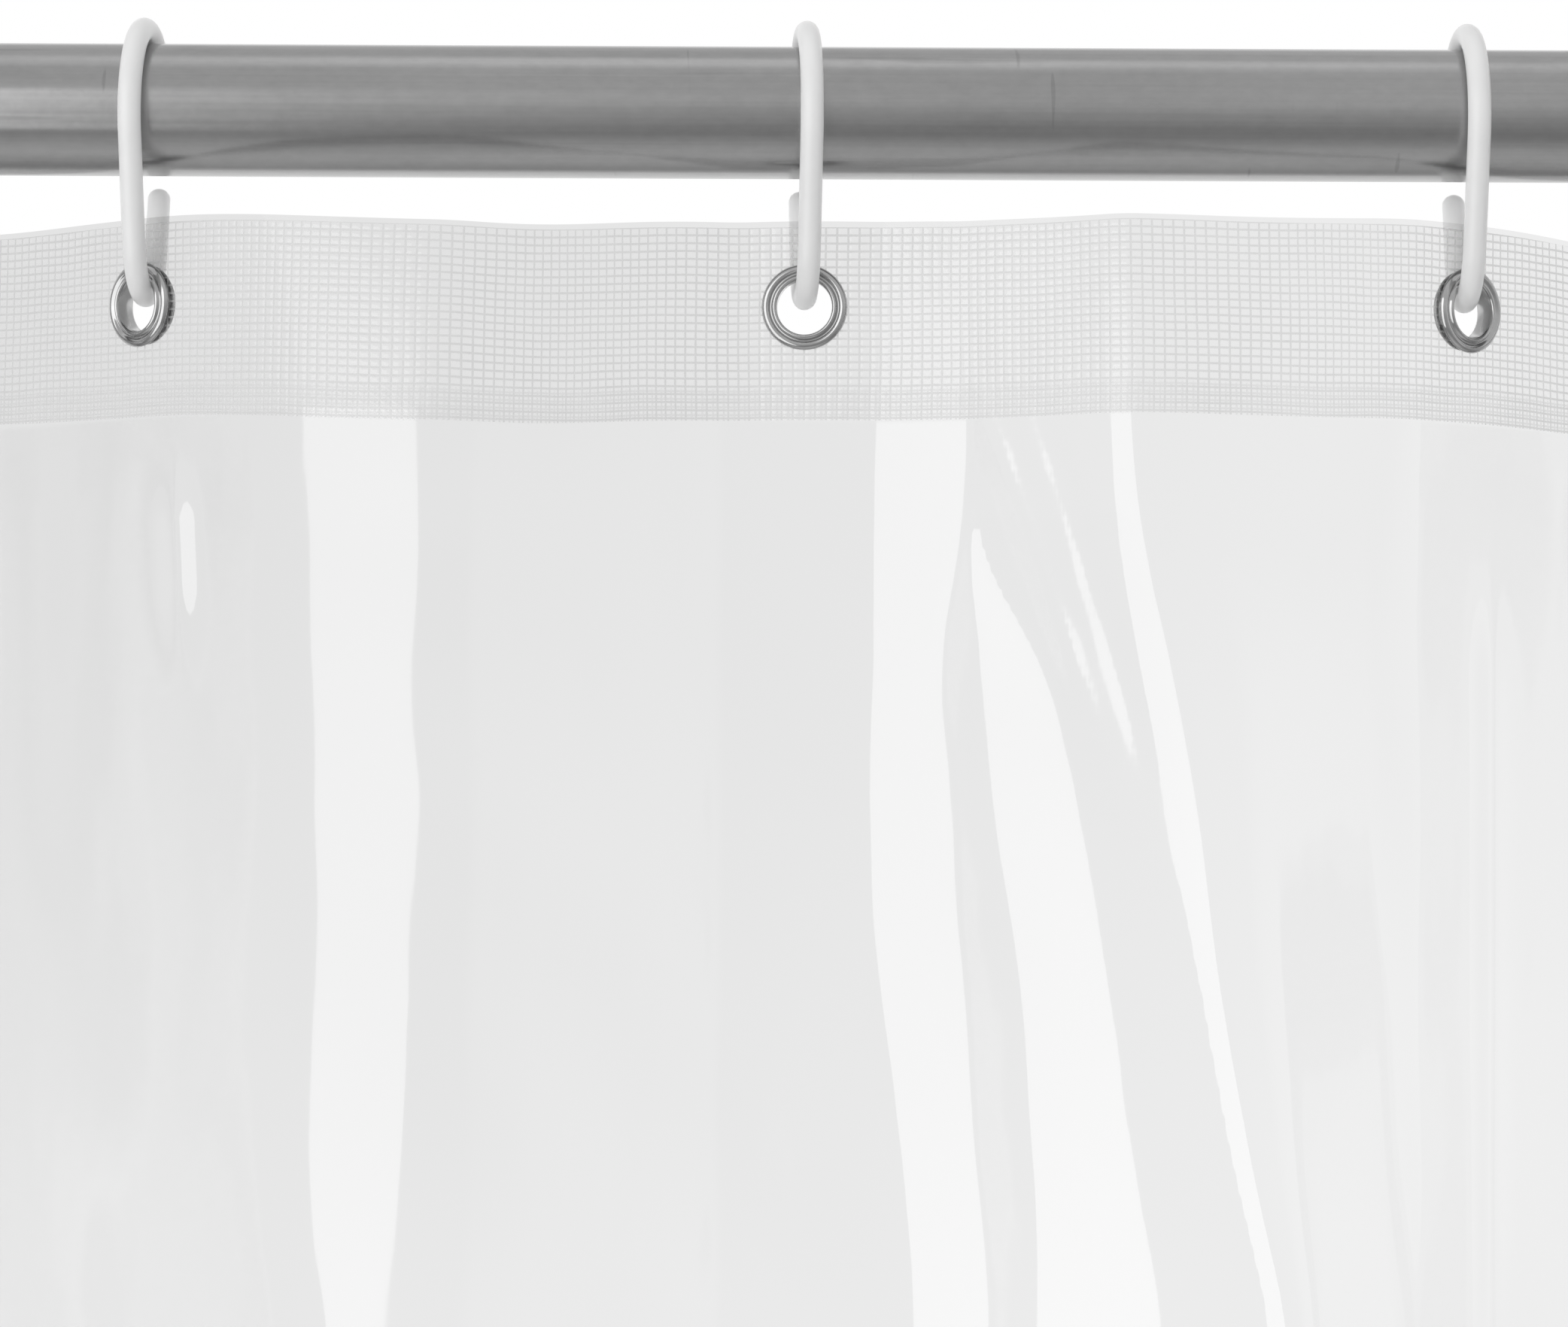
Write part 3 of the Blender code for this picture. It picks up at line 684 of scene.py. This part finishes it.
# The film is stiff enough to stand in facets between soft folds, and two pleats show it best. Each row is one
# height, and gives the places along the rod, in mm from the pleat's first ring, where the angles are reached: 0 is
# along the rod and 40 is 40 degrees out into the room. The last four places bound the facet that leads back.
FACETS = {
    6: (
        (42, 34, 6, 0, 0, 3),
        (
            (-0.062, 22, 32.0, 54.0, 60, 112, 118, 56, 66, 110, 118),
            (-0.088, 22, 32.5, 54.5, 60, 112, 118, 56, 66, 110, 118),
            (-0.097, 21, 31.0, 53.5, 60, 112, 118, 56, 66, 110, 118),
            (-0.108, 22, 33.5, 52.0, 59, 112, 118, 55, 66, 110, 118),
            (-0.137, 22, 33.5, 55.0, 61, 112, 118, 57, 67, 110, 118),
            (-0.166, 23, 34.0, 50.0, 58, 112, 118, 54, 66, 110, 118),
            (-0.203, 24, 35.0, 49.5, 58, 112, 118, 53, 66, 110, 118),
            (-0.232, 28, 39.0, 48.5, 57, 112, 118, 52, 66, 110, 118),
            (-0.500, 26, 38.0, 52.0, 60, 112, 118, 55, 66, 110, 118),
        ),
    ),
    7: (
        (3, 20, 20, 39, 39, 24, 24, 39, 39, -10, -10, -40),
        (
            (-0.062, 12.0, 17.0, 27.0, 32.0, 35.00, 35.02, 35.04, 35.06, 57.0, 63.5, 108, 118, 64, 76, 106, 116),
            (-0.083, 12.0, 17.0, 26.5, 31.0, 31.50, 31.52, 31.54, 31.56, 58.3, 66.0, 108, 118, 66, 78, 106, 116),
            (-0.107, 12.0, 17.0, 22.0, 27.0, 32.5, 37.0, 43.0, 47.0, 61.3, 73.0, 108, 118, 73, 84, 106, 116),
            (-0.130, 12.0, 17.0, 24.0, 29.0, 35.0, 39.5, 48.5, 52.5, 65.0, 77.5, 110, 118, 77, 87, 107, 116),
            (-0.159, 12.5, 17.5, 26.0, 31.0, 39.0, 44.0, 53.0, 57.0, 72.2, 78.0, 110, 118, 79, 89, 108, 116),
            (-0.203, 17.0, 22.0, 30.0, 35.0, 43.0, 47.0, 60.0, 64.0, 80.3, 86.0, 112, 118, 86, 95, 110, 117),
            (-0.228, 21.0, 26.0, 32.0, 37.0, 44.0, 48.0, 64.0, 68.0, 86.1, 91.6, 112, 118, 90, 98, 111, 117),
            (-0.420, 24.0, 30.0, 36.0, 41.0, 47.0, 51.0, 66.0, 70.0, 88.0, 95.0, 112, 118, 91, 99, 111, 117),
        ),
    ),
}
for number, (angles, places) in FACETS.items():
    here = slice(cuts[number], cuts[number + 1] + 1)
    heights, *spots = np.array(sorted(places)).T
    near = down[:, None] + np.linspace(-0.010, 0.010, 13)
    spots = [np.interp(near, heights, spot / 1000).mean(axis=1)[:, None] for spot in spots]
    out = cloth_x[:, here] - ring_x(number)
    angle = np.full_like(out, angles[0])
    for start, end, turn in zip(spots, spots[1:], np.diff(angles)):
        angle += turn * np.clip((out - start) / (end - start), 0, 1)
    rise, full, fall, done = spots[-4:]
    back = np.clip((out - rise) / (full - rise), 0, 1) * np.clip((done - out) / (done - fall), 0, 1)
    step = np.diff(out, axis=1)
    slope, back = (
        np.concatenate([np.zeros((len(down), 1)), np.cumsum((f[:, 1:] + f[:, :-1]) / 2 * step, axis=1)], axis=1)
        for f in (np.tan(np.radians(angle)), back)
    )
    cloth_y[:, here] = -(slope - back * slope[:, -1:] / back[:, -1:])

# The head of the cloth leans back between the eyelets and its edge sags a little there, pleat by pleat.
SAG = (0.5, 0.8, 1.2, 0.6, 1.0, -1.2, 3.0, 0.5, 1.3, 0.8, 0.6, 1.1, 0.5)
head = np.clip((z - (band_low - 0.03)) / (film_top - band_low + 0.03), 0, 1) ** 2
between = np.sin(math.pi * pleat_share) ** 2
sag = np.array(SAG)[np.clip(pleat_index, -1, RING_COUNT - 1).astype(int) + 1] / 1000
cloth_z = z - sag * between * np.clip((z + 0.7) / 0.6, 0, 1)
cloth_y += HEAD_LEAN * between * head

# Shallow ripples run over the whole sheet, each a leaning sine wave as high as a share of its width. They die
# away round the hem weights.
ripple = np.zeros_like(u)
for _ in range(RIPPLE_COUNT):
    wide, tall = chance.uniform(0.030, 0.085), chance.uniform(0.045, 0.30)
    lean = chance.choice((-1, 1))
    ripple += RIPPLE_SHARE * wide * np.sin(2 * math.pi * (u / wide + lean * z / tall) + chance.uniform(0, 6.28))
for number in MAGNET_UNDER_RING:
    apart = np.hypot(u - CLOTH_MARGIN - (number - 1) * EYELET_PITCH, z - MAGNET_HEIGHT)
    ripple *= 1 - np.exp(-((apart / 0.020) ** 2))
cloth_y += ripple * (0.25 + 0.75 * free)

# Each crease is a low ridge: from the ring it lies beside, its place along the rod and its height at its two
# ends, how many times that length it runs on for, how wide it is and how far it stands out.
CREASES = (
    (7, 0.0233, -0.025, 0.068, -0.159, 1.1, 0.0024, 0.00034),
    (7, 0.0352, -0.025, 0.078, -0.172, 1.1, 0.0026, -0.00040),
    (8, 0.006, -0.075, 0.006, -0.180, 2.4, 0.0030, 0.0016),
    (6, 0.006, -0.062, 0.009, -0.118, 1.0, 0.0034, 0.0021),
    (4, 0.050, -0.110, 0.066, -0.420, 2.0, 0.0080, 0.0040),
    (2, 0.066, -0.150, 0.052, -0.520, 2.0, 0.0085, -0.0042),
    (9, 0.048, -0.090, 0.070, -0.380, 2.0, 0.0080, 0.0042),
    (11, 0.060, -0.200, 0.078, -0.600, 2.0, 0.0090, 0.0040),
)
for number, start_x, start_z, end_x, end_z, tail, width, height in CREASES:
    share = (z - start_z) / (end_z - start_z)
    centre = ring_x(number) + start_x + share * (end_x - start_x)
    fade = np.clip(share / 0.3, 0, 1) ** 2 * np.clip((tail - share) / (0.45 * tail), 0, 1) ** 2
    cloth_y -= height * fade * np.exp(-(((cloth_x - centre) / width) ** 2))

cloth = np.stack([cloth_x, cloth_y, cloth_z], axis=-1)


def room_normals(points):
    """The direction each point of a sheet faces, to the room side: the cross product of its two grid directions."""
    facing = np.cross(np.gradient(points, axis=1), -np.gradient(points, axis=0))
    facing /= np.linalg.norm(facing, axis=-1)[..., None]
    return -facing if facing[..., 1].mean() > 0 else facing


facing = room_normals(cloth)

# The film takes some light from what stands behind it, a little less lower down, and mirrors the room. How much it
# takes is partly its own random cloudiness and partly painted light and shade:
# the lighter film lower down and the slow wave along the rod stand in for how the light falls. Where the header is
# welded over it, the mirror is gone.
vinyl = Finish("clear vinyl")
cloudy = vinyl.noise(vinyl.place((1, 1, 1)), 6.0, 2.0)
along_rod = vinyl.node("ShaderNodeSeparateXYZ", {}, {0: vinyl.place()}, "X")
level_up = vinyl.node("ShaderNodeSeparateXYZ", {}, {0: vinyl.place()}, "Z")
# Painted light and shade: more light gets through lower down and along a slow wave by the rod. The cloudy noise is the
# film's own haze.
clearness_with_painted_light = (-level_up).ramp(0.06, 0.28) * 0.6 + (along_rod * 9.0 - 7.7).math("SINE") * 0.38 + cloudy * 0.5 + 0.12
wavy = vinyl.noise(vinyl.place((14, 14, 9)), 1.0, 2.0, 0.55)
pucker = vinyl.noise(vinyl.place((1, 1, 0.35)), 60.0, 2.0)
wave = vinyl.bump(wavy * 0.7 + pucker * 0.16, 0.0022, 0.5)
glance = vinyl.node("ShaderNodeLayerWeight", {}, {"Blend": 0.5, "Normal": wave}, "Facing")
bonded = level_up.ramp(band_low - 0.0008, band_low + 0.0004)
mirror = (0.085 + glance.math("POWER", 4.0) * 0.9) * (1 - bonded * 0.85)
smoky_and_shaded, clear = (vinyl.node("ShaderNodeBsdfTransparent", {}, {"Color": (c, c, c, 1)}) for c in (0.775, 0.875))
body = vinyl.node("ShaderNodeMixShader", {}, {0: clearness_with_painted_light, 1: smoky_and_shaded, 2: clear})
gloss = vinyl.node("ShaderNodeBsdfGlossy", {}, {"Color": (1, 1, 1, 1), "Roughness": 0.075, "Normal": wave})
film_finish = vinyl.done(vinyl.node("ShaderNodeMixShader", {}, {0: mirror, 1: body, 2: gloss}))

spots = np.stack([u, film_top - z], axis=-1)


def hole_free(u, z):
    """True for each quad of the grid whose middle is outside the punched holes, which the eyelets' flanges hide."""
    mid_u = (u[:-1, :-1] + u[1:, 1:]) / 2
    mid_z = (z[:-1, :-1] + z[1:, 1:]) / 2
    eyelet = np.clip(np.round((mid_u - CLOTH_MARGIN) / EYELET_PITCH), 0, RING_COUNT - 1)
    return np.hypot(mid_u - CLOTH_MARGIN - eyelet * EYELET_PITCH, mid_z - EYELET_HEIGHT) > PUNCHED_RADIUS


def hang(piece, number):
    """Number 0 is the free edge left of the first ring, 12 the one right of the last, and the rest run ring to ring."""
    if 0 < number < RING_COUNT:
        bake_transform(piece)
    else:
        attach(piece, bodies[max(number - 1, 0)])


for number in range(RING_COUNT + 1):
    columns = slice(cuts[number], cuts[number + 1] + 1)
    panel = grid_mesh(
        f"film_panel_{number:02d}",
        cloth[::-1, columns],
        film_finish,
        uv=spots[::-1, columns],
        normals=facing[::-1, columns],
        keep=hole_free(u[:, columns], z[:, columns])[::-1],
    )
    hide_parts("vinyl_sheet")
    hang(panel, number)

# ------------------------------------------------------------------ mesh header
# A strip of open woven mesh laminated between two clear films and welded to the head of the sheet, so that the
# eyelets don't tear out. Its yarns stand proud of the film, and along its lower edge the weld doubles them.

BAND_MIDDLE = FILM_THICKNESS / 2 + 0.0003 + 0.0002
YARN_PITCH_ALONG = 0.00213
YARN_PITCH_DOWN = 0.00153
YARN_HALF = 0.00019
DOUBLED_ACROSS = 0.0009
DOUBLED_DOWN = 0.0006

scrim = Finish("mesh laminate")
cut_place = scrim.node("ShaderNodeTexCoord", output="UV")
sway = scrim.noise(cut_place, 28.0, 2.0)
dip = scrim.noise(scrim.node("ShaderNodeMapping", {}, {"Vector": cut_place, "Location": (3.1, 0, 0)}), 31.0, 2.0)
place_u = scrim.node("ShaderNodeSeparateXYZ", {}, {0: cut_place}, "X") + (sway - 0.5) * 0.0010
place_v = scrim.node("ShaderNodeSeparateXYZ", {}, {0: cut_place}, "Y") + (dip - 0.5) * 0.0012


def yarn(across_wire, pitch, half, shift=0.0):
    """1 on a yarn and 0 between yarns: how near the place is to a whole number of pitches."""
    off = ((across_wire + shift) / pitch).math("PINGPONG", 0.5) * pitch
    return 1 - off.ramp(half * 0.6, half * 1.5)


upright = yarn(place_u, YARN_PITCH_ALONG, YARN_HALF)
level = yarn(place_v, YARN_PITCH_DOWN, YARN_HALF)
weld = place_v.ramp(band_high - band_low - 0.0065, band_high - band_low - 0.0055)
second_level = yarn(place_v, YARN_PITCH_DOWN, YARN_HALF, DOUBLED_DOWN)
doubled = yarn(place_u, YARN_PITCH_ALONG, YARN_HALF, DOUBLED_ACROSS).math("MAXIMUM", second_level)
net = upright.math("MAXIMUM", level).math("MAXIMUM", doubled * weld * 0.6)
slub = scrim.noise(cut_place, 500.0, 1.0)
blotch = scrim.noise(cut_place, 75.0, 2.0)
dome = (place_u / YARN_PITCH_ALONG).math("PINGPONG", 0.5) * math.pi
dome = dome.math("SINE") * ((place_v / YARN_PITCH_DOWN).math("PINGPONG", 0.5) * math.pi).math("SINE")
relief = scrim.bump(dome * 0.8 + blotch * 3.0, 0.00018, 0.9)
pane = scrim.node("ShaderNodeBsdfTransparent", {}, {"Color": (0.985, 0.985, 0.985, 1)})
fibre = scrim.node(
    "ShaderNodeBsdfPrincipled",
    {},
    {"Base Color": scrim.shade(slub, 0.43, 0.54), "Roughness": 0.5, "Specular IOR Level": 0.2},
)
woven = scrim.node("ShaderNodeMixShader", {}, {0: net * (0.30 + blotch * 0.22), 1: pane, 2: fibre})
sheen = scrim.node("ShaderNodeBsdfGlossy", {}, {"Color": (1, 1, 1, 1), "Roughness": 0.14, "Normal": relief})
glint = scrim.node("ShaderNodeLayerWeight", {}, {"Blend": 0.5, "Normal": relief}, "Facing").math("POWER", 4.0) * 0.6
laminate = scrim.done(scrim.node("ShaderNodeMixShader", {}, {0: (glint + 0.045) * (1 - net * 0.7), 1: woven, 2: sheen}))

inner_rows = down[(down < band_high - 0.0002) & (down > band_low + 0.0002)]
band_down = np.concatenate([[band_high], inner_rows, [band_low]])
band_u, band_z = np.meshgrid(across, band_down)
band_points = np.apply_along_axis(lambda line: np.interp(-band_down, -down, line), 0, cloth)
band_facing = room_normals(band_points)
band_points = band_points + band_facing * BAND_MIDDLE
band_spots = np.stack([band_u, band_high - band_z], axis=-1)
for number in range(RING_COUNT + 1):
    columns = slice(cuts[number], cuts[number + 1] + 1)
    strip = grid_mesh(
        f"mesh_strip_{number:02d}",
        band_points[::-1, columns],
        laminate,
        uv=band_spots[::-1, columns],
        normals=band_facing[::-1, columns],
        keep=hole_free(band_u[:, columns], band_z[:, columns])[::-1],
    )
    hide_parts("mesh_header")
    hang(strip, number)

# ------------------------------------------------------------------ hem weights
# Four ferrite disc magnets behind the hem, which hold it to a steel tub. Each lies in a pressed cup of thicker
# film that is welded to the sheet round its rim.

MAGNET_RADIUS = 0.006
MAGNET_FRONT = -FILM_THICKNESS / 2 - 0.0003
MAGNET_BACK = MAGNET_FRONT - 0.0025
POCKET_BORE = MAGNET_RADIUS + 0.0003
POCKET_FILM = 0.0004
WELD_RADIUS = 0.009

ferrite = Finish("dark ferrite")
speck = ferrite.noise(ferrite.place((1, 1, 1)), 1500.0, 3.0, 0.7)
sintered = ferrite.done(
    ferrite.node(
        "ShaderNodeBsdfPrincipled",
        {},
        {
            "Base Color": ferrite.shade(speck, 0.03, 0.09),
            "Roughness": 0.45 + speck * 0.25,
            "Normal": ferrite.bump(speck, 0.00003, 0.5),
        },
    )
)
disc_line = [
    (0.0001, MAGNET_FRONT),
    (MAGNET_RADIUS - 0.0004, MAGNET_FRONT),
    (MAGNET_RADIUS, MAGNET_FRONT - 0.0004),
    (MAGNET_RADIUS, MAGNET_BACK + 0.0004),
    (MAGNET_RADIUS - 0.0004, MAGNET_BACK),
    (0.0001, MAGNET_BACK),
]
cup_back = MAGNET_BACK - 0.0003
cup_line = [
    (0.0001, cup_back),
    (POCKET_BORE - 0.0006, cup_back),
    (POCKET_BORE, cup_back + 0.0005),
    (POCKET_BORE, MAGNET_FRONT - 0.0006),
    (POCKET_BORE + 0.0004, MAGNET_FRONT),
    (WELD_RADIUS - 0.0002, MAGNET_FRONT),
    (WELD_RADIUS, MAGNET_FRONT - 0.0002),
    (WELD_RADIUS - 0.0002, MAGNET_FRONT - POCKET_FILM),
    (POCKET_BORE + POCKET_FILM + 0.0003, MAGNET_FRONT - POCKET_FILM),
    (POCKET_BORE + POCKET_FILM, MAGNET_FRONT - 0.0010),
    (POCKET_BORE + POCKET_FILM, cup_back),
    (POCKET_BORE - 0.0001, cup_back - POCKET_FILM),
    (0.0001, cup_back - POCKET_FILM),
]
for index, number in enumerate(MAGNET_UNDER_RING, 1):
    heading = math.radians(EYELET_HEADING_DEG[number - 1])
    along = (math.cos(heading), -math.sin(heading), 0)
    room_side = (-math.sin(heading), -math.cos(heading), 0)
    spot = (ring_x(number), 0, MAGNET_HEIGHT)
    for name, line, finish, slot in (
        ("magnet", disc_line, sintered, "magnet"),
        ("magnet_pocket", cup_line, film_finish, "film"),
    ):
        shape = turned(line, 48, spot, along, (0, 0, 1), room_side)
        piece = grid_mesh(f"hem_{name}_{index}", shape.transpose(1, 0, 2), finish, around=True, caps=True)
        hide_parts(f"{name}_{index}")
        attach(piece, bodies[number - 1])
